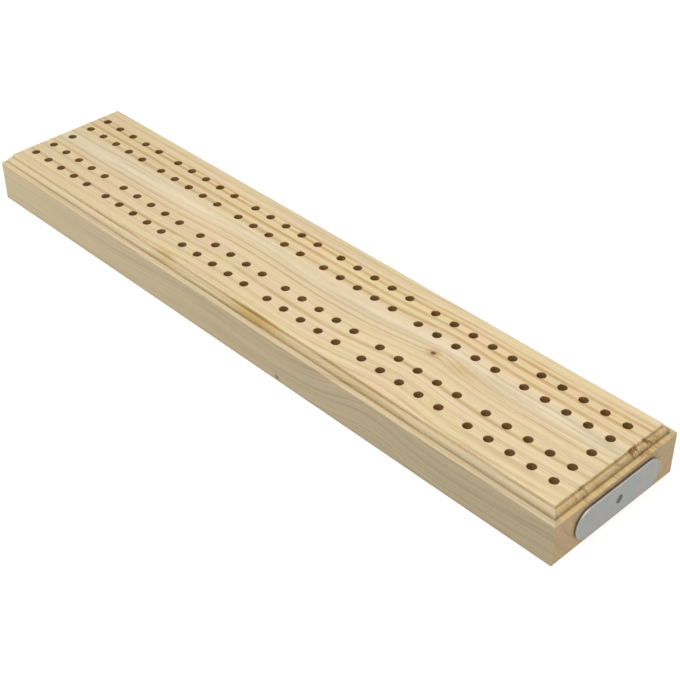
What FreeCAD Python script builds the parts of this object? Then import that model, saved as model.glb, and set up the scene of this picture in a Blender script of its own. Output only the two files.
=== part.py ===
import FreeCAD, Part
import math
import os

# Cribbage board: one block of pine with a routed top edge, two tracks of peg holes, two peg stores
# drilled into one end, a steel cover plate that swivels on a screw over both stores, and six pegs.
# Millimetres.  The origin is the centre of the underside, +X runs along the tracks towards the
# covered end, +Y runs across them, and +Z is up.

# Block
BOARD_LENGTH = 304.8
BOARD_WIDTH = 63.5
BOARD_THICKNESS = 21.5
CORNER_SOFTENING = 1.0
BASE_SOFTENING = 0.8

# Routed edge, worked inwards and downwards from the block's sides and top
LEDGE_WIDTH = 2.1
LEDGE_DEPTH = 4.0
STEP_DEPTH = 1.4
BEAD_RADIUS = 1.65
FIELD_INSET = 3.85
EDGE_SOFTENING = 0.3

# Peg holes: 30 columns in groups of five, two tracks of two rows, one centre hole at each end
HOLE_RADIUS = 1.75
HOLE_DEPTH = 7.0
HOLE_CHAMFER = 0.15
HOLE_PITCH = 9.14
COLUMN_COUNT = 30
GROUP_SIZE = 5
GROUP_GAP = 3.87
INNER_ROW = 9.75
OUTER_ROW = INNER_ROW + HOLE_PITCH
DRILL_POINT_ANGLE = 118.0

# The hole pattern was drilled a little off the block's centre lines
PATTERN_SHIFT_X = -1.1
PATTERN_SHIFT_Y = -0.4

# Peg stores, each midway between the two rows of a track
STORE_RADIUS = 4.75
STORE_DEPTH = 46.0
STORE_CHAMFER = 0.3
STORE_OFFSET = (INNER_ROW + OUTER_ROW) / 2
STORE_HEIGHT = 9.3

# Cover plate and its washer
PLATE_LENGTH = 43.5
PLATE_WIDTH = 12.4
PLATE_THICKNESS = 1.0
PLATE_SOFTENING = 0.25
WASHER_RADIUS = 2.6
WASHER_THICKNESS = 0.23
COVER_STANDOFF = 0.25

# Pivot screw: countersunk head, plain neck for the plate to turn on, wood thread
HEAD_RADIUS = 1.7
HEAD_HEIGHT = 0.6
NECK_RADIUS = 1.1
RUNNING_CLEARANCE = 0.05
THREAD_ROOT = 0.75
THREAD_PITCH = 1.0
THREAD_TURNS = 9
POINT_LENGTH = 1.6
SLOT_WIDTH = 0.5
SLOT_DEPTH = 0.35
SLOT_ANGLE = 60.0

# Pegs: turned, with a tapered shank, a shoulder, a waist and a rounded head
PEG_LENGTH = 34.0
PEG_TIP_RADIUS = 1.4
PEG_SHANK_RADIUS = 1.6
PEG_SHANK_LENGTH = 17.0
PEG_HEAD_RADIUS = 2.0
PEG_SHOULDER_LENGTH = 1.5
PEG_WAIST_RADIUS = 1.2
PEG_HEAD_LENGTH = 4.2
PEG_HEAD_ROUNDING = 1.8
PEG_EDGE_ROUNDING = 0.3
PEG_GAP = 0.2
PEG_END_GAP = 0.5
PEGS_PER_STORE = 3

CUT_THROUGH = 1.0
SHORTEST_RUN = 1e-6
END_FACE = BOARD_LENGTH / 2
TURN = 360.0


def vec(x, y, z):
    return FreeCAD.Vector(x, y, z)


def rounded_outline(corners):
    """Closed wire of straight runs through (point, rounding) corners, with a tangent arc at each."""
    runs = []
    arcs = []
    for i, (corner, rounding) in enumerate(corners):
        back = (corners[i - 1][0] - corner).normalize()
        ahead = (corners[(i + 1) % len(corners)][0] - corner).normalize()
        half_angle = back.getAngle(ahead) / 2
        trim = rounding / math.tan(half_angle)
        start = corner + back * trim
        end = corner + ahead * trim
        runs.append((start, end))
        if rounding:
            inward = (back + ahead).normalize()
            middle = corner + inward * (rounding / math.sin(half_angle) - rounding)
            arcs.append(Part.Arc(start, middle, end).toShape())
    straights = [(runs[i - 1][1], start) for i, (start, end) in enumerate(runs)]
    lines = [Part.makeLine(a, b) for a, b in straights if a.distanceToPoint(b) > SHORTEST_RUN]
    return Part.Wire(Part.__sortEdges__(lines + arcs))


def turned(profile):
    """Solid turned about Z from (radius, height, rounding) corners that start and end on the axis."""
    corners = [(vec(radius, 0, height), rounding) for radius, height, rounding in profile]
    return Part.Face(rounded_outline(corners)).revolve(vec(0, 0, 0), vec(0, 0, 1), TURN)


def facing_end(shape, y, z):
    """The shape with its +Z laid along +X, its origin on the covered end face at (y, z)."""
    shape.rotate(vec(0, 0, 0), vec(0, 1, 0), 90)
    shape.translate(vec(END_FACE, y, z))
    return shape


def drill(radius, depth, chamfer):
    """Cutter for a blind drilled hole with its mouth at the origin, opening towards +Z."""
    point_height = radius / math.tan(math.radians(DRILL_POINT_ANGLE / 2))
    return turned([
        (0, -depth - point_height, 0),
        (radius, -depth, 0),
        (radius, -chamfer, 0),
        (radius + chamfer, 0, 0),
        (radius + chamfer, CUT_THROUGH, 0),
        (0, CUT_THROUGH, 0),
    ])


def block_section(half):
    """Outline of the block across one direction, as (distance from the middle, height, rounding)."""
    ledge = BOARD_THICKNESS - LEDGE_DEPTH
    step = BOARD_THICKNESS - STEP_DEPTH
    side = [
        (half, 0, BASE_SOFTENING),
        (half, ledge, EDGE_SOFTENING),
        (half - LEDGE_WIDTH, ledge, 0),
        (half - LEDGE_WIDTH, step, BEAD_RADIUS),
        (half - FIELD_INSET, step, 0),
        (half - FIELD_INSET, BOARD_THICKNESS, EDGE_SOFTENING),
    ]
    return side + [(-across, height, rounding) for across, height, rounding in reversed(side)]


def block():
    """The routed block: the long moulding and the end moulding mitre where their sections cross."""
    half_length = BOARD_LENGTH / 2
    half_width = BOARD_WIDTH / 2
    long_section = [(vec(-half_length, y, z), r) for y, z, r in block_section(half_width)]
    end_section = [(vec(x, -half_width, z), r) for x, z, r in block_section(half_length)]
    plan = [(vec(x * half_length, y * half_width, 0), CORNER_SOFTENING)
            for x, y in ((1, 1), (-1, 1), (-1, -1), (1, -1))]
    long_run = Part.Face(rounded_outline(long_section)).extrude(vec(BOARD_LENGTH, 0, 0))
    end_run = Part.Face(rounded_outline(end_section)).extrude(vec(0, BOARD_WIDTH, 0))
    upright = Part.Face(rounded_outline(plan)).extrude(vec(0, 0, BOARD_THICKNESS))
    return long_run.common(end_run).common(upright)


def column_places():
    """X of every column of holes."""
    places = [i * HOLE_PITCH + (i // GROUP_SIZE) * GROUP_GAP for i in range(COLUMN_COUNT)]
    middle = places[-1] / 2
    return [x - middle + PATTERN_SHIFT_X for x in places]


def peg_hole_places():
    """(x, y) of every peg hole: the four rows, then the centre hole of the first and last column."""
    columns = column_places()
    rows = [PATTERN_SHIFT_Y + side * row for side in (-1, 1) for row in (INNER_ROW, OUTER_ROW)]
    ends = [(columns[0], PATTERN_SHIFT_Y), (columns[-1], PATTERN_SHIFT_Y)]
    return [(x, y) for x in columns for y in rows] + ends


def board():
    cutters = []
    for x, y in peg_hole_places():
        hole = drill(HOLE_RADIUS, HOLE_DEPTH, HOLE_CHAMFER)
        hole.translate(vec(x, y, BOARD_THICKNESS))
        cutters.append(hole)
    for side in (-1, 1):
        store = drill(STORE_RADIUS, STORE_DEPTH, STORE_CHAMFER)
        cutters.append(facing_end(store, side * STORE_OFFSET, STORE_HEIGHT))
    pilot = drill(THREAD_ROOT, THREAD_TURNS * THREAD_PITCH, NECK_RADIUS - THREAD_ROOT)
    cutters.append(facing_end(pilot, 0, STORE_HEIGHT))
    return block().cut(cutters)


def pivot_washer():
    """Thin spacer that holds the cover plate just off the end grain."""
    disc = Part.makeCylinder(WASHER_RADIUS, WASHER_THICKNESS)
    hole = Part.makeCylinder(NECK_RADIUS + RUNNING_CLEARANCE, WASHER_THICKNESS)
    return facing_end(disc.cut(hole), 0, STORE_HEIGHT)


def cover_plate():
    """Steel plate with full round ends, its outer rim softened, countersunk for the pivot screw."""
    end_radius = PLATE_WIDTH / 2
    end_centre = PLATE_LENGTH / 2 - end_radius
    plan = [(vec(x * end_radius, y * (end_centre + end_radius), 0), end_radius)
            for x, y in ((1, 1), (-1, 1), (-1, -1), (1, -1))]
    plate = Part.Face(rounded_outline(plan)).extrude(vec(0, 0, PLATE_THICKNESS))
    rim = [edge for edge in plate.Edges if edge.BoundBox.ZMin > PLATE_THICKNESS / 2]
    plate = plate.makeFillet(PLATE_SOFTENING, rim)
    bore = NECK_RADIUS + RUNNING_CLEARANCE
    mouth = HEAD_RADIUS + RUNNING_CLEARANCE
    countersink = Part.makeCone(bore, mouth, HEAD_HEIGHT, vec(0, 0, PLATE_THICKNESS - HEAD_HEIGHT))
    plate = plate.cut([Part.makeCylinder(bore, PLATE_THICKNESS), countersink])
    plate.translate(vec(0, 0, COVER_STANDOFF))
    return facing_end(plate, 0, STORE_HEIGHT)


def pivot_screw():
    """Slotted countersunk screw: its thread crests are as wide as its neck and bite into the board."""
    face = COVER_STANDOFF + PLATE_THICKNESS
    profile = [(0, face, 0), (HEAD_RADIUS, face, 0), (NECK_RADIUS, face - HEAD_HEIGHT, 0), (NECK_RADIUS, 0, 0)]
    for turn in range(THREAD_TURNS):
        profile.append((THREAD_ROOT, -(turn + 0.5) * THREAD_PITCH, 0))
        profile.append((NECK_RADIUS, -(turn + 1) * THREAD_PITCH, 0))
    profile.append((0, -THREAD_TURNS * THREAD_PITCH - POINT_LENGTH, 0))
    slot = Part.makeBox(4 * HEAD_RADIUS, SLOT_WIDTH, CUT_THROUGH)
    slot.translate(vec(-2 * HEAD_RADIUS, -SLOT_WIDTH / 2, face - SLOT_DEPTH))
    slot.rotate(vec(0, 0, 0), vec(0, 0, 1), 90 + SLOT_ANGLE)
    return facing_end(turned(profile).cut(slot), 0, STORE_HEIGHT)


def peg():
    """One turned peg with its tip at the origin and its head towards +Z."""
    shoulder = PEG_SHANK_LENGTH + PEG_SHOULDER_LENGTH
    neck = PEG_LENGTH - PEG_HEAD_LENGTH
    return turned([
        (0, 0, 0),
        (PEG_TIP_RADIUS, 0, PEG_EDGE_ROUNDING),
        (PEG_SHANK_RADIUS, PEG_SHANK_LENGTH, 0),
        (PEG_HEAD_RADIUS, PEG_SHANK_LENGTH, PEG_EDGE_ROUNDING),
        (PEG_HEAD_RADIUS, shoulder, PEG_EDGE_ROUNDING),
        (PEG_WAIST_RADIUS, neck, 0),
        (PEG_HEAD_RADIUS, neck, PEG_EDGE_ROUNDING),
        (PEG_HEAD_RADIUS, PEG_LENGTH, PEG_HEAD_ROUNDING),
        (0, PEG_LENGTH, 0),
    ])


def stored_pegs(side):
    """A store's pegs, spread evenly round its axis, tips just clear of its bottom."""
    spread = (2 * PEG_HEAD_RADIUS + PEG_GAP) / (2 * math.sin(math.pi / PEGS_PER_STORE))
    pegs = []
    for i in range(PEGS_PER_STORE):
        angle = math.pi / 2 + i * 2 * math.pi / PEGS_PER_STORE
        one = peg()
        one.translate(vec(0, 0, PEG_END_GAP - STORE_DEPTH))
        y = side * STORE_OFFSET + spread * math.cos(angle)
        pegs.append(facing_end(one, y, STORE_HEIGHT + spread * math.sin(angle)))
    return pegs


def all_nodes():
    nodes = {
        "board": board(),
        "cover_plate": cover_plate(),
        "pivot_screw": pivot_screw(),
        "pivot_washer": pivot_washer(),
    }
    for colour, side in (("red", -1), ("blue", 1)):
        for number, shape in enumerate(stored_pegs(side), start=1):
            nodes[f"{colour}_peg_{number}"] = shape
    return nodes


os.makedirs("parts", exist_ok=True)
for name, shape in all_nodes().items():
    shape.exportStep(f"parts/{name}.step")
    print(name, shape.isValid(), len(shape.Solids), round(shape.Volume, 2), shape.BoundBox)
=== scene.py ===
import math

import bpy
from mathutils import Matrix, Vector


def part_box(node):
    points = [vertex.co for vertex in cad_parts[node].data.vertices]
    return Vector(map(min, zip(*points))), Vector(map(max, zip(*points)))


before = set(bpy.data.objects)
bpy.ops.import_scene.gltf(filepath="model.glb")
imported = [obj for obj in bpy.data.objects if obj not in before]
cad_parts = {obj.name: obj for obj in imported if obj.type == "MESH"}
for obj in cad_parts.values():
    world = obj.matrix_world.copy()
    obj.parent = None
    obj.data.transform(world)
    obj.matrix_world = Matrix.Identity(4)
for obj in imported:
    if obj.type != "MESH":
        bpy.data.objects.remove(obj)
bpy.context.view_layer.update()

MILLIMETRES = 1000.0

# Sizes of the block and its routed edge, in millimetres
BOARD_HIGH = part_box("board")[1]
HALF_LENGTH = BOARD_HIGH.x * MILLIMETRES
HALF_WIDTH = BOARD_HIGH.y * MILLIMETRES
TOP = BOARD_HIGH.z * MILLIMETRES
LEDGE_WIDTH = 2.1
LEDGE_HEIGHT = TOP - 4.0
FIELD_INSET = 3.85
STEP_HEIGHT = TOP - 1.4

# The cover plate's face towards the wood
PLATE_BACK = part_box("cover_plate")[0].x * MILLIMETRES

# The tree's pith runs along the board, this far above its top face and behind its middle line
PITH_Y = 3.2
PITH_Z = TOP + 9.5
RING_LEAN = 0.118
RING_SPAN = 50.0

# Growth rings as (distance from the pith, how dark), on the far side of the pith and on the near side
BACK_RINGS = (
    (10.0, 0.35), (12.1, 0.95), (15.7, 1.00), (19.8, 1.00), (22.1, 0.70),
    (26.8, 0.50), (30.8, 0.60), (35.0, 0.55), (39.8, 0.60), (44.2, 0.50),
)
FRONT_RINGS = (
    (10.2, 0.45), (11.4, 0.85), (14.8, 0.30), (19.3, 0.90), (24.0, 0.40),
    (27.8, 0.60), (31.6, 0.60), (35.6, 0.45), (40.2, 0.60), (44.6, 0.40),
)
RING_LEAD = 1.5
RING_DROP = 1.15

# The small knot, and the way its twig ran down from the pith
KNOT_X = 70.4
KNOT_Y = 0.8
TWIG_ACROSS = 0.56
TWIG_DOWN = 0.83

# The golden resin on the front moulding: the main stretch, a long faint one, and a spot of gum
RESIN_X = 9.5
FAINT_RESIN_X = 64.0
GUM_X = -44.0

# Where across the end moulding the cutter tore the most grain
TEAR_Y = 15.0

# A small nick on the front face
NICK_X = 25.0
NICK_Z = 2.0

# The floor, in metres: half its width, and its level just below the board
FLOOR_HALF = 40.0
FLOOR_LEVEL = -0.0002

# The camera: the point it looks at and its distance in metres, its direction in degrees,
# its lens and sensor in millimetres
CAMERA_AIM = (0.03217, -0.00778, 0.01075)
CAMERA_DISTANCE = 0.5231
CAMERA_AZIMUTH = 46.291
CAMERA_ELEVATION = 37.510
CAMERA_ROLL = 0.195
CAMERA_LENS = 75.646
CAMERA_SENSOR = 36.0


def srgb(red, green, blue):
    """Colour from 0 to 255 in each channel, as linear light with alpha 1."""
    linear = []
    for level in (red / 255, green / 255, blue / 255):
        linear.append(level / 12.92 if level <= 0.04 else ((level + 0.055) / 1.055) ** 2.4)
    return (*linear, 1.0)


class Value:
    """A shader socket that arithmetic can be written on. Each operation adds one Math node."""

    def __init__(self, paint, socket):
        self.paint = paint
        self.socket = socket

    def __add__(self, other):
        return self.paint.calc("ADD", self, other)

    __radd__ = __add__

    def __sub__(self, other):
        return self.paint.calc("SUBTRACT", self, other)

    def __rsub__(self, other):
        return self.paint.calc("SUBTRACT", other, self)

    def __mul__(self, other):
        return self.paint.calc("MULTIPLY", self, other)

    __rmul__ = __mul__

    def __truediv__(self, other):
        return self.paint.calc("DIVIDE", self, other)

    def __rtruediv__(self, other):
        return self.paint.calc("DIVIDE", other, self)

    def __neg__(self):
        return self.paint.calc("MULTIPLY", self, -1.0)


class Graph:
    """The nodes of one material, or of the world."""

    def __init__(self, tree):
        self.nodes = tree.nodes
        self.links = tree.links

    def add(self, kind, settings=None, inputs=None, output=0):
        """New node: settings first, then the values or links of its sockets. Returns one output."""
        node = self.nodes.new(kind)
        for name, value in (settings or {}).items():
            if name == "stops":
                self.set_stops(node.color_ramp, value)
            else:
                setattr(node, name, value)
        for name, value in (inputs or {}).items():
            self.feed(node.inputs[name], value)
        return Value(self, node.outputs[output])

    def feed(self, socket, value):
        """Links a Value to the socket, or sets the socket to a plain number, vector or colour."""
        if isinstance(value, Value):
            self.links.new(value.socket, socket)
        else:
            socket.default_value = value

    def set_stops(self, ramp, stops):
        """Grey stops of a ramp, each a place from 0 to 1 and a tone."""
        ramp.interpolation = "EASE"
        while len(ramp.elements) < len(stops):
            ramp.elements.new(1.0)
        for element, (place, tone) in zip(ramp.elements, stops):
            element.position = place
            element.color = (tone, tone, tone, 1.0)


class Paint(Graph):
    """One node material on a Principled shader, with millimetre coordinates."""

    def __init__(self, name, **constants):
        self.material = bpy.data.materials.new(name)
        self.material.use_nodes = True
        super().__init__(self.material.node_tree)
        self.shader = self.nodes["Principled BSDF"]
        for socket, value in constants.items():
            self.shader.inputs[socket.replace("_", " ")].default_value = value

    def calc(self, operation, *terms):
        """One Math node on one, two or three terms."""
        return self.add("ShaderNodeMath", {"operation": operation}, dict(enumerate(terms)))

    def hump(self, value, centre, width):
        """Bell curve: e to the minus square of the distance from the centre over the width."""
        away = (value - centre) / width
        return self.calc("EXPONENT", -(away * away))

    def smooth(self, value, low, high):
        """0 below low and 1 above high, with an S-shaped rise between."""
        limits = {"Value": value, "From Min": low, "From Max": high}
        return self.add("ShaderNodeMapRange", {"interpolation_type": "SMOOTHSTEP"}, limits)

    def point(self, x, y, z):
        """The vector with these three axes."""
        return self.add("ShaderNodeCombineXYZ", None, {"X": x, "Y": y, "Z": z})

    def stretch(self, vector, x, y, z):
        """The vector with each axis multiplied by its own number."""
        return self.add("ShaderNodeVectorMath", {"operation": "MULTIPLY"}, {0: vector, 1: (x, y, z)})

    def noise(self, vector, detail=2.0, roughness=0.5):
        """Smooth noise from 0 to 1, about 0.5 on average."""
        inputs = {"Vector": vector, "Scale": 1.0, "Detail": detail, "Roughness": roughness}
        return self.add("ShaderNodeTexNoise", None, inputs)

    def mix(self, amount, first, second):
        """Colour that goes from first to second as amount goes from 0 to 1."""
        return self.add("ShaderNodeMix", {"data_type": "RGBA"}, {0: amount, 6: first, 7: second}, 2)

    def scale_colour(self, colour, amount):
        """The colour multiplied by amount in all its channels."""
        settings = {"data_type": "RGBA", "blend_type": "MULTIPLY"}
        grey = self.add("ShaderNodeCombineColor", None, {0: amount, 1: amount, 2: amount})
        return self.add("ShaderNodeMix", settings, {0: 1.0, 6: colour, 7: grey}, 2)

    def axes(self, vector):
        """The vector's x, y and z."""
        return [self.add("ShaderNodeSeparateXYZ", None, {0: vector}, i) for i in range(3)]

    def place(self):
        """Where the shaded point is on the object at rest, as a vector in millimetres."""
        where = self.add("ShaderNodeTexCoord", None, None, "Object")
        return self.stretch(where, MILLIMETRES, MILLIMETRES, MILLIMETRES)

    def facing(self):
        """The surface normal on the object at rest: its x, y and z."""
        return self.axes(self.add("ShaderNodeTexCoord", None, None, "Normal"))

    def finish(self, colour=None, roughness=None, metallic=None, height=None):
        """Feeds what varies over the surface. Height is in millimetres."""
        for name, value in (("Base Color", colour), ("Roughness", roughness), ("Metallic", metallic)):
            if value is not None:
                self.feed(self.shader.inputs[name], value)
        if height is not None:
            bump = self.add("ShaderNodeBump", None, {"Distance": 1.0 / MILLIMETRES, "Height": height})
            self.feed(self.shader.inputs["Normal"], bump)
        return self.material


def ring_stops(rings):
    """Ramp stops that darken slowly up to each ring's outer edge and pale quickly past it."""
    stops = []
    pale_from = 0.0
    for place, dark in rings:
        lead = max(place - RING_LEAD, pale_from)
        pale_from = place + RING_DROP
        stops += [(lead / RING_SPAN, 0.0), (place / RING_SPAN, dark), (pale_from / RING_SPAN, 0.0)]
    return stops


def sway(paint, x, y):
    """How far the grain lines stray to +Y: a slow curve, a hump past the middle and humps at the knot."""
    front = 1.0 - paint.smooth(y, -12.0, 6.0) * 0.45
    slow = x * 0.0268 + x * x * 0.0000764
    plain_end_hump = paint.hump(x, -25.0, 30.0) * 2.0 * (1.0 - paint.smooth(y, 0.0, 9.0))
    knot_hump = paint.hump(x, KNOT_X, 22.0) * 3.8 * (1.0 - paint.smooth(y, 2.0, 22.0) * 0.75)
    lift = paint.hump(x, KNOT_X + 4.0, 7.0) * 2.0 * paint.hump(y, KNOT_Y + 1.0, 3.0)
    return slow * front + plain_end_hump + knot_hump + lift


def ring_space(paint, vector, x, y, z):
    """Distance from the pith, and how far to the back the point leans from it, from -1 to 1."""
    wander = paint.noise(paint.stretch(vector, 0.011, 0.03, 0.03)) - 0.5
    ripple = paint.noise(paint.stretch(vector, 0.06, 0.16, 0.16)) - 0.5
    across = y - sway(paint, x, y) - PITH_Y + wander * 1.6 + ripple * 0.5
    depth = PITH_Z - z + wander * 1.2
    distance = paint.calc("SQRT", across * across + depth * depth)
    lean = across / distance
    return distance * (lean * RING_LEAN + 1.0), lean


def ring_tone(paint, distance, lean, x):
    """How dark the growth rings are, from 0 in earlywood to 1 in the darkest latewood."""
    share = distance / RING_SPAN
    back = paint.add("ShaderNodeValToRGB", {"stops": ring_stops(BACK_RINGS)}, {"Fac": share})
    front = paint.add("ShaderNodeValToRGB", {"stops": ring_stops(FRONT_RINGS)}, {"Fac": share})
    side = paint.smooth(lean, -0.2, 0.3)
    rings = back * side + front * (1.0 - side)
    patchy = paint.noise(paint.point(x * 0.025, distance * 0.35, lean * 2.0)) * 0.9 + 0.55
    return rings * patchy


def fine_lines(paint, distance, lean, x):
    """Faint lines inside each year's growth, from -0.5 to 0.5."""
    return paint.noise(paint.point(x * 0.010, distance * 1.7, lean * 2.0), 3.0, 0.62) - 0.5


def thin_lines(paint, distance, lean, x):
    """Crisp hair-thin dark lines along the grain, 1 on each."""
    line = paint.noise(paint.point(x * 0.012, distance * 3.0, lean * 5.0 + 9.0), 1.0, 0.4)
    return paint.smooth(line, 0.54, 0.63)


def end_tears(paint, x, y, z):
    """Dark strokes across the end mouldings where a cutter tore the grain, from 0 to 1."""
    slant = y + (z - TOP) * 0.35
    stroke = paint.noise(paint.point(slant * 0.62, x * 0.22, z * 0.16), 3.0, 0.65)
    patch = paint.noise(paint.point(y * 0.10, 7.0, 3.0), 1.0) + paint.hump(y, TEAR_Y, 9.0) * 0.22
    return paint.smooth(stroke, 0.50, 0.60) * paint.smooth(patch, 0.46, 0.66)


def resin_streak(paint, x, y, z):
    """Golden resin on a short stretch of the front moulding, and faintly on two others, from 0 to 1."""
    moulding = 1.0 - paint.smooth(y + HALF_WIDTH, FIELD_INSET + 0.05, FIELD_INSET + 0.3)
    upright = paint.smooth(z, LEDGE_HEIGHT - 0.1, LEDGE_HEIGHT + 0.4)
    patch = paint.noise(paint.point(x * 0.05, y * 0.6, z * 0.6), 2.0, 0.6)
    main = paint.hump(x, RESIN_X, 13.0)
    faint = paint.hump(x, FAINT_RESIN_X, 26.0) * 0.35 + paint.hump(x, GUM_X, 6.0) * 0.3
    return moulding * upright * (main + faint) * paint.smooth(patch, 0.2, 0.5)


def fibres(paint, vector):
    """Short pale and dark fibres along the board, from -0.5 to 0.5."""
    return paint.noise(paint.stretch(vector, 0.16, 5.5, 5.5), 3.0, 0.6) - 0.5


def resin_dashes(paint, vector):
    """Thin short resin canals along the grain, 1 on each."""
    speck = paint.noise(paint.stretch(vector, 0.22, 3.4, 3.4), 1.0, 0.3)
    return paint.smooth(speck, 0.66, 0.74)


def knot_mask(paint, x, y, z, inner, outer):
    """1 in the knot and 0 outside it: an ellipse round the twig's line, ending inside the board."""
    aside = (y - KNOT_Y) * TWIG_DOWN - (z - TOP) * TWIG_ACROSS
    along = (x - KNOT_X) * 0.75
    radius = paint.calc("SQRT", aside * aside + along * along)
    return (1.0 - paint.smooth(radius, inner, outer)) * paint.smooth(z, 12.0, 16.0)


def knot_fan(paint, distance, x, y):
    """Golden lines crowded where the grain sweeps past the knot, 1 on each."""
    wander = paint.noise(paint.point(x * 0.03, distance * 0.8, 5.0), 2.0, 0.6)
    line = paint.calc("SINE", distance * 13.0 + wander * 14.0)
    strong = paint.smooth(paint.noise(paint.point(x * 0.05, distance * 1.2, 2.0), 1.0), 0.3, 0.6)
    area = paint.hump(x, KNOT_X + 16.0, 16.0) * paint.hump(y, KNOT_Y - 0.8, 4.6)
    return paint.smooth(line, 0.1, 1.0) * strong * area


def nick_mask(paint, x, y, z):
    """1 in a small dark nick low on the front face."""
    on_front = 1.0 - paint.smooth(y, 1.0 - HALF_WIDTH, 2.0 - HALF_WIDTH)
    return paint.hump(x + z * 0.5, NICK_X, 1.0) * paint.hump(z, NICK_Z, 0.8) * on_front


def edge_inset(paint, x, y):
    """Distance in from the nearest side or end of the block."""
    from_end = HALF_LENGTH - paint.calc("ABSOLUTE", x)
    from_side = HALF_WIDTH - paint.calc("ABSOLUTE", y)
    return paint.calc("MINIMUM", from_end, from_side)


def end_moulding(paint, x, y, z):
    """1 on the moulding across either end, 0 on the top face and the long mouldings."""
    from_end = HALF_LENGTH - paint.calc("ABSOLUTE", x)
    from_side = HALF_WIDTH - paint.calc("ABSOLUTE", y)
    below_top = 1.0 - paint.smooth(z, STEP_HEIGHT + 0.2, STEP_HEIGHT + 0.5)
    strip = 1.0 - paint.smooth(from_end, FIELD_INSET - 0.1, FIELD_INSET + 0.05)
    above_face = paint.smooth(z, LEDGE_HEIGHT - 0.2, LEDGE_HEIGHT - 0.05)
    return below_top * strip * above_face * paint.smooth(from_side - from_end, -0.05, 0.05)


def long_moulding(paint, y, z):
    """1 on the bead and ledge along either long side, 0 elsewhere."""
    from_side = HALF_WIDTH - paint.calc("ABSOLUTE", y)
    below_top = 1.0 - paint.smooth(z, STEP_HEIGHT + 0.1, STEP_HEIGHT + 0.4)
    strip = 1.0 - paint.smooth(from_side, FIELD_INSET - 0.15, FIELD_INSET - 0.02)
    return below_top * strip * paint.smooth(z, LEDGE_HEIGHT - 0.2, LEDGE_HEIGHT - 0.05)


def crease_shade_and_dirt(paint, x, y, z):
    """Painted shade, with some dirt, in the two inner corners of the routed edge: brown, 1 at the corner."""
    inset = edge_inset(paint, x, y)
    upper = paint.hump(inset, FIELD_INSET, 0.55) * paint.hump(z, STEP_HEIGHT + 0.15, 0.75)
    lower = paint.hump(inset, LEDGE_WIDTH, 0.6) * paint.hump(z, LEDGE_HEIGHT, 0.7)
    return upper + lower


def hole_wall(paint, x, y, z):
    """1 on the walls of the peg holes and stores, 0 on the outer faces and the moulding."""
    inside = paint.smooth(edge_inset(paint, x, y), FIELD_INSET + 0.35, FIELD_INSET + 0.75)
    below = 1.0 - paint.smooth(z, TOP - 0.45, TOP - 0.1)
    return inside * below * paint.smooth(z, 1.0, 1.4)


def clear_wood(paint, vector, distance, lean, dark):
    """Clean wood: early to late growth, palest by the pith, with soft mottling and resin canals."""
    back = paint.smooth(lean, 0.3, 0.7) * (1.0 - paint.smooth(distance, 21.5, 24.5))
    heart = 1.0 - paint.smooth(distance, 9.9, 11.3)
    early = paint.mix(back, srgb(230, 208, 168), srgb(234, 209, 164))
    early = paint.mix(heart, early, srgb(238, 222, 189))
    late = paint.mix(back, srgb(204, 176, 130), srgb(203, 169, 118))
    colour = paint.mix(paint.smooth(dark, -0.1, 1.0), early, late)
    pink = paint.noise(paint.stretch(vector, 0.045, 0.10, 0.10), 3.0, 0.65)
    yellow = paint.noise(paint.stretch(vector, 0.036, 0.09, -0.09), 3.0, 0.65)
    clear = 1.0 - heart * 0.75
    colour = paint.mix(paint.smooth(pink, 0.46, 0.66) * clear * 0.45, colour, srgb(233, 203, 170))
    colour = paint.mix(paint.smooth(yellow, 0.46, 0.66) * clear * 0.45, colour, srgb(225, 209, 158))
    return paint.mix(resin_dashes(paint, vector) * 0.35, colour, srgb(176, 138, 88))


def add_knot(paint, colour, x, y, z):
    """The brown knot, with a tawny ring round it."""
    ring = knot_mask(paint, x, y, z, 0.9, 3.2)
    knot = knot_mask(paint, x, y, z, 0.35, 1.15)
    colour = paint.mix(ring * 0.5, colour, srgb(194, 152, 92))
    return paint.mix(knot * 0.95, colour, srgb(104, 68, 34))


def add_end_grain(paint, colour, sawn_end, end_bead, x, y, z):
    """Darker wood on the ends, paler on their mouldings and topmost step, with torn strokes."""
    colour = paint.mix(sawn_end * 0.55, colour, srgb(184, 150, 101))
    colour = paint.mix(end_bead * 0.3, colour, srgb(216, 188, 126))
    step = sawn_end * paint.smooth(z, STEP_HEIGHT, STEP_HEIGHT + 0.3)
    colour = paint.mix(step * 0.9, colour, srgb(236, 211, 158))
    above_ledge = paint.smooth(z, LEDGE_HEIGHT - 0.3, LEDGE_HEIGHT + 0.2)
    tears = sawn_end * end_tears(paint, x, y, z) * above_ledge
    return paint.mix(tears * 0.85, colour, srgb(128, 82, 34))


def add_hole_shade(paint, colour, vector, bore):
    """Painted shade on the hole walls, brown between olive and rust from one hole to the next."""
    tint = paint.smooth(paint.noise(paint.stretch(vector, 0.11, 0.11, 0.02), 1.0), 0.4, 0.6)
    brown = paint.mix(tint, srgb(152, 116, 48), srgb(170, 114, 54))
    return paint.mix(bore * 0.78, colour, brown)


def add_marks(paint, colour, underside, x, y, z):
    """Painted shade along the bottom edges, the sanded back edge, a spot of gum and the nick."""
    # Painted shade where the board meets the floor, on the downward faces at the bottom
    bottom_edge_shade = paint.hump(z, 0.0, 0.8) * underside
    colour = paint.mix(bottom_edge_shade * 0.75, colour, srgb(104, 92, 70))
    sanded = paint.smooth(y, HALF_WIDTH - 5.2, HALF_WIDTH - 4.1) * paint.smooth(z, TOP - 1.0, TOP - 0.6)
    colour = paint.mix(sanded * 0.4, colour, srgb(230, 224, 206))
    gum = paint.hump(x, GUM_X, 5.0) * paint.hump(y, FIELD_INSET + 0.5 - HALF_WIDTH, 0.9)
    colour = paint.mix(gum * paint.smooth(z, STEP_HEIGHT, TOP) * 0.6, colour, srgb(200, 166, 88))
    return paint.mix(nick_mask(paint, x, y, z) * 0.85, colour, srgb(92, 78, 50))


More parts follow.
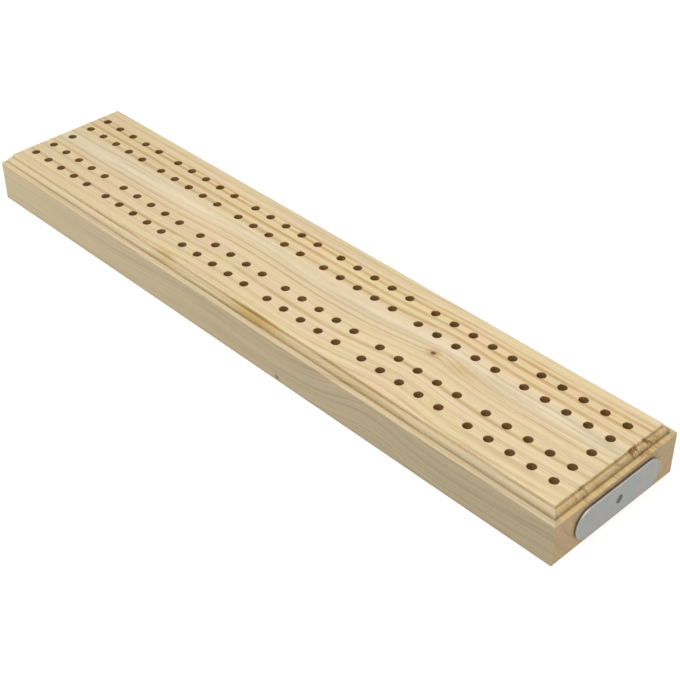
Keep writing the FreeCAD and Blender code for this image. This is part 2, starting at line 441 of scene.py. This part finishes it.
def add_fan(paint, colour, distance, clean, x, y, z):
    """Golden lines and a patch of amber past the knot. Clean is 0 on the hole walls and the long sides."""
    fan = knot_fan(paint, distance, x, y) * clean
    colour = paint.mix(fan * 0.7, colour, srgb(184, 146, 86))
    patch = paint.hump(x, KNOT_X + 13.0, 4.5) * paint.hump(y, KNOT_Y + 0.2, 1.3)
    amber = patch * paint.smooth(z, TOP - 1.5, TOP)
    return paint.mix(amber * 0.4, colour, srgb(206, 156, 84))


def lengthwise_shade(paint, x, side, beading, dark):
    """Painted light and shade along the board, to add to the shade: sides and long mouldings paler at the
    far end and darker at the near end, other faces darker at the far end.
    """
    far = 1.0 - paint.smooth(x, -HALF_LENGTH, 50.0)
    far_tone = far * (side * 0.16 + beading * 0.11 - 0.05)
    side_tone = side * (dark * 0.05 - 0.02 + paint.smooth(x, 20.0, 110.0) * 0.05)
    bead_tone = beading * paint.smooth(x, 85.0, 140.0) * 0.08
    return far_tone - side_tone - bead_tone


def pine():
    """Flat-sawn pine, routed and sanded, with its rings worked out in three dimensions."""
    paint = Paint("pine", Specular_IOR_Level=0.3)
    vector = paint.place()
    x, y, z = paint.axes(vector)
    distance, lean = ring_space(paint, vector, x, y, z)
    dark = ring_tone(paint, distance, lean, x)
    lines = fine_lines(paint, distance, lean, x)
    hair = thin_lines(paint, distance, lean, x) * 0.13
    fibre = fibres(paint, vector)
    pores = paint.noise(paint.stretch(vector, 0.5, 2.6, 2.6), 3.0, 0.65) - 0.5

    normal = paint.facing()
    end_bead = end_moulding(paint, x, y, z)
    beading = long_moulding(paint, y, z)
    end_face = paint.smooth(paint.calc("ABSOLUTE", normal[0]), 0.35, 0.7)
    sawn_end = paint.calc("MAXIMUM", end_face, end_bead)
    side = paint.smooth(paint.calc("ABSOLUTE", normal[1]), 0.7, 0.95) * (1.0 - sawn_end)
    side = side * (1.0 - paint.smooth(z, LEDGE_HEIGHT - 0.6, LEDGE_HEIGHT))
    underside = paint.smooth(normal[2], -0.8, -0.4)
    bore = hole_wall(paint, x, y, z)
    resin = resin_streak(paint, x, y, z)
    # Painted shade and some dirt in the creases of the routed edge, stronger on the end grain and along the
    # resin
    crease_darkening = crease_shade_and_dirt(paint, x, y, z) * (0.14 + sawn_end * 0.05 + resin * 0.5)

    colour = clear_wood(paint, vector, distance, lean, dark)
    colour = add_knot(paint, colour, x, y, z)
    colour = add_end_grain(paint, colour, sawn_end, end_bead, x, y, z)
    # Painted shade: the long sides darker and greyer than the top
    colour = paint.mix(side * 0.8, colour, srgb(178, 162, 128))
    colour = paint.mix(beading * 0.5, colour, srgb(192, 178, 147))
    colour = paint.mix(resin * 0.9, colour, srgb(192, 158, 86))
    # Painted crease shade and dirt, in brown
    colour = paint.mix(crease_darkening, colour, srgb(146, 112, 52))
    # Painted shade inside the peg holes and stores
    colour = add_hole_shade(paint, colour, vector, bore)
    colour = add_marks(paint, colour, underside, x, y, z)
    colour = add_fan(paint, colour, distance, (1.0 - bore) * (1.0 - side), x, y, z)

    shade = lines * (0.38 - side * 0.12) + fibre * 0.12 + sawn_end * pores * 0.45 + 0.975 - hair
    # Painted light and shade along the board
    shade = shade + lengthwise_shade(paint, x, side, beading, dark)
    roughness = fibre * 0.12 + sawn_end * 0.12 + 0.55 - dark * 0.06
    height = dark * 0.02 + fibre * 0.05 + sawn_end * pores * 0.14
    return paint.finish(paint.scale_colour(colour, shade), roughness, None, height)


def plated_steel():
    """Dull zinc plate: fine brushing, soft cool and warm mottling, a pale, less metallic rim that is partly
    a painted highlight, and painted shade at its back edge.
    """
    paint = Paint("zinc_plated_steel")
    vector = paint.place()
    x = paint.axes(vector)[0]
    brushing = paint.noise(paint.stretch(vector, 4.0, 0.25, 6.0), 3.0, 0.6) - 0.5
    spangle = paint.noise(paint.stretch(vector, 0.5, 0.35, 0.5), 3.0, 0.55) - 0.5
    tint = paint.noise(paint.stretch(vector, 0.3, 0.12, 0.22), 1.0) - 0.5
    colour = paint.mix(paint.smooth(tint, -0.18, 0.18), srgb(150, 158, 157), srgb(162, 157, 153))
    colour = paint.scale_colour(colour, 1.0 + spangle * 0.35 + brushing * 0.14)
    normal = paint.facing()
    rim = 1.0 - paint.smooth(paint.calc("ABSOLUTE", normal[0]), 0.75, 0.98)
    # Pale, duller cut edge, partly a painted highlight
    colour = paint.mix(rim * 0.8, colour, srgb(206, 203, 194))
    # Painted shade on the back half of the rim, in the gap by the wood
    gap_shade = rim * (1.0 - paint.smooth(x, PLATE_BACK + 0.35, PLATE_BACK + 0.6))
    colour = paint.mix(gap_shade * 0.9, colour, srgb(72, 68, 60))
    roughness = spangle * 0.16 + brushing * 0.12 + 0.42
    height = brushing * 0.012 + spangle * 0.02
    return paint.finish(colour, roughness, 1.0 - rim * 0.75, height)


def dark_steel(name, tone, roughness):
    """Small turned steel part with a slightly smutty finish."""
    paint = Paint(name, Metallic=1.0)
    vector = paint.place()
    smut = paint.noise(paint.stretch(vector, 1.1, 1.1, 1.1), 3.0, 0.6) - 0.5
    turning = paint.noise(paint.stretch(vector, 9.0, 0.6, 0.6), 2.0) - 0.5
    colour = paint.scale_colour(srgb(*tone), smut * 0.6 + 1.0)
    return paint.finish(colour, smut * 0.25 + roughness, None, turning * 0.012)


def moulded_plastic(name, tone, peg):
    """Glossy moulded plastic with a faint flow pattern and the mould's parting line along the peg."""
    paint = Paint(name, Specular_IOR_Level=0.5)
    vector = paint.place()
    z = paint.axes(vector)[2]
    low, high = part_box(peg)
    middle = (low.z + high.z) / 2 * MILLIMETRES
    flow = paint.noise(paint.stretch(vector, 0.18, 0.9, 0.9), 2.0) - 0.5
    skin = paint.noise(paint.stretch(vector, 3.0, 3.0, 3.0), 2.0) - 0.5
    parting = paint.hump(z, middle, 0.06)
    colour = paint.scale_colour(srgb(*tone), flow * 0.3 + 1.0)
    roughness = flow * 0.12 + skin * 0.1 + 0.33
    return paint.finish(colour, roughness, None, parting * 0.03 + skin * 0.01)


def floor_paper():
    """Matt white paper, lit from within a little so that shadows stay pale, and clear from below."""
    paint = Paint("white_paper", Specular_IOR_Level=0.1, Roughness=0.9, Emission_Strength=1.0)
    vector = paint.place()
    tooth = paint.noise(paint.stretch(vector, 0.6, 0.6, 0.6), 3.0, 0.6) - 0.5
    colour = paint.scale_colour((0.16, 0.16, 0.156, 1.0), tooth * 0.02 + 1.0)
    glow = paint.scale_colour((0.89, 0.89, 0.875, 1.0), tooth * 0.004 + 1.0)
    paint.feed(paint.shader.inputs["Emission Color"], glow)
    paint.finish(colour)
    back = paint.add("ShaderNodeNewGeometry", None, None, "Backfacing")
    clear = paint.add("ShaderNodeBsdfTransparent")
    paper = Value(paint, paint.shader.outputs[0])
    sides = paint.add("ShaderNodeMixShader", None, {0: back, 1: paper, 2: clear})
    paint.feed(paint.nodes["Material Output"].inputs["Surface"], sides)
    return paint.material


def dress(node, material):
    """Gives a CAD node one material in all its slots."""
    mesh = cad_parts[node].data
    if not mesh.materials:
        mesh.materials.append(material)
    for i in range(len(mesh.materials)):
        mesh.materials[i] = material


def make_floor():
    """One wide square, facing up."""
    mesh = bpy.data.meshes.new("floor")
    turns = ((-1, -1), (1, -1), (1, 1), (-1, 1))
    corners = [(x * FLOOR_HALF, y * FLOOR_HALF, FLOOR_LEVEL) for x, y in turns]
    mesh.from_pydata(corners, [], [(0, 1, 2, 3)])
    mesh.materials.append(floor_paper())
    floor = bpy.data.objects.new("floor", mesh)
    bpy.context.scene.collection.objects.link(floor)


def make_light(name, place, aim, width, height, watts):
    """Soft box at place, turned to face aim, lighting the scene without being seen itself."""
    lamp = bpy.data.lights.new(name, "AREA")
    lamp.shape = "RECTANGLE"
    lamp.size = width
    lamp.size_y = height
    lamp.energy = watts
    light = bpy.data.objects.new(name, lamp)
    light.location = place
    light.rotation_mode = "QUATERNION"
    light.rotation_quaternion = (Vector(aim) - Vector(place)).to_track_quat("-Z", "Y")
    light.visible_camera = False
    bpy.context.scene.collection.objects.link(light)


def make_world(light, seen):
    """White surroundings that light the scene softly and are seen brighter than they light it."""
    world = bpy.data.worlds.new("studio")
    world.use_nodes = True
    graph = Graph(world.node_tree)
    background = graph.nodes["Background"]
    camera_ray = graph.add("ShaderNodeLightPath", None, None, "Is Camera Ray")
    limits = {"Value": camera_ray, "To Min": light, "To Max": seen}
    strength = graph.add("ShaderNodeMapRange", None, limits)
    graph.feed(background.inputs["Color"], (1.0, 1.0, 1.0, 1.0))
    graph.feed(background.inputs["Strength"], strength)
    bpy.context.scene.world = world


def make_camera():
    """Camera over the covered end's near corner, looking along the board."""
    azimuth = math.radians(CAMERA_AZIMUTH)
    elevation = math.radians(CAMERA_ELEVATION)
    roll = math.radians(CAMERA_ROLL)
    back = Vector((
        math.sin(azimuth) * math.cos(elevation),
        -math.cos(azimuth) * math.cos(elevation),
        math.sin(elevation),
    ))
    data = bpy.data.cameras.new("camera")
    data.sensor_width = CAMERA_SENSOR
    data.lens = CAMERA_LENS
    data.clip_start = 0.01
    data.clip_end = 20.0
    camera = bpy.data.objects.new("camera", data)
    turn = (-back).to_track_quat("-Z", "Y").to_matrix() @ Matrix.Rotation(-roll, 3, "Z")
    place = Vector(CAMERA_AIM) + back * CAMERA_DISTANCE
    camera.matrix_world = Matrix.Translation(place) @ turn.to_4x4()
    bpy.context.scene.collection.objects.link(camera)
    bpy.context.scene.camera = camera


dress("board", pine())
dress("cover_plate", plated_steel())
dress("pivot_screw", dark_steel("screw_steel", (112, 108, 102), 0.4))
dress("pivot_washer", dark_steel("washer_steel", (128, 124, 116), 0.45))
red = moulded_plastic("red_plastic", (186, 26, 24), "red_peg_1")
blue = moulded_plastic("blue_plastic", (24, 62, 158), "blue_peg_1")
for number in (1, 2, 3):
    dress(f"red_peg_{number}", red)
    dress(f"blue_peg_{number}", blue)

make_floor()
make_world(light=0.20, seen=0.92)
make_light("overhead", place=(0.12, -0.26, 1.30), aim=(0.0, 0.0, 0.0), width=1.2, height=1.2, watts=19.5)
make_light(
    "far_end_fill", place=(-0.36, -0.30, 0.06), aim=(-0.12, -0.03, 0.01), width=0.30, height=0.10, watts=0.26
)
make_camera()
bpy.context.scene.view_settings.view_transform = "Standard"
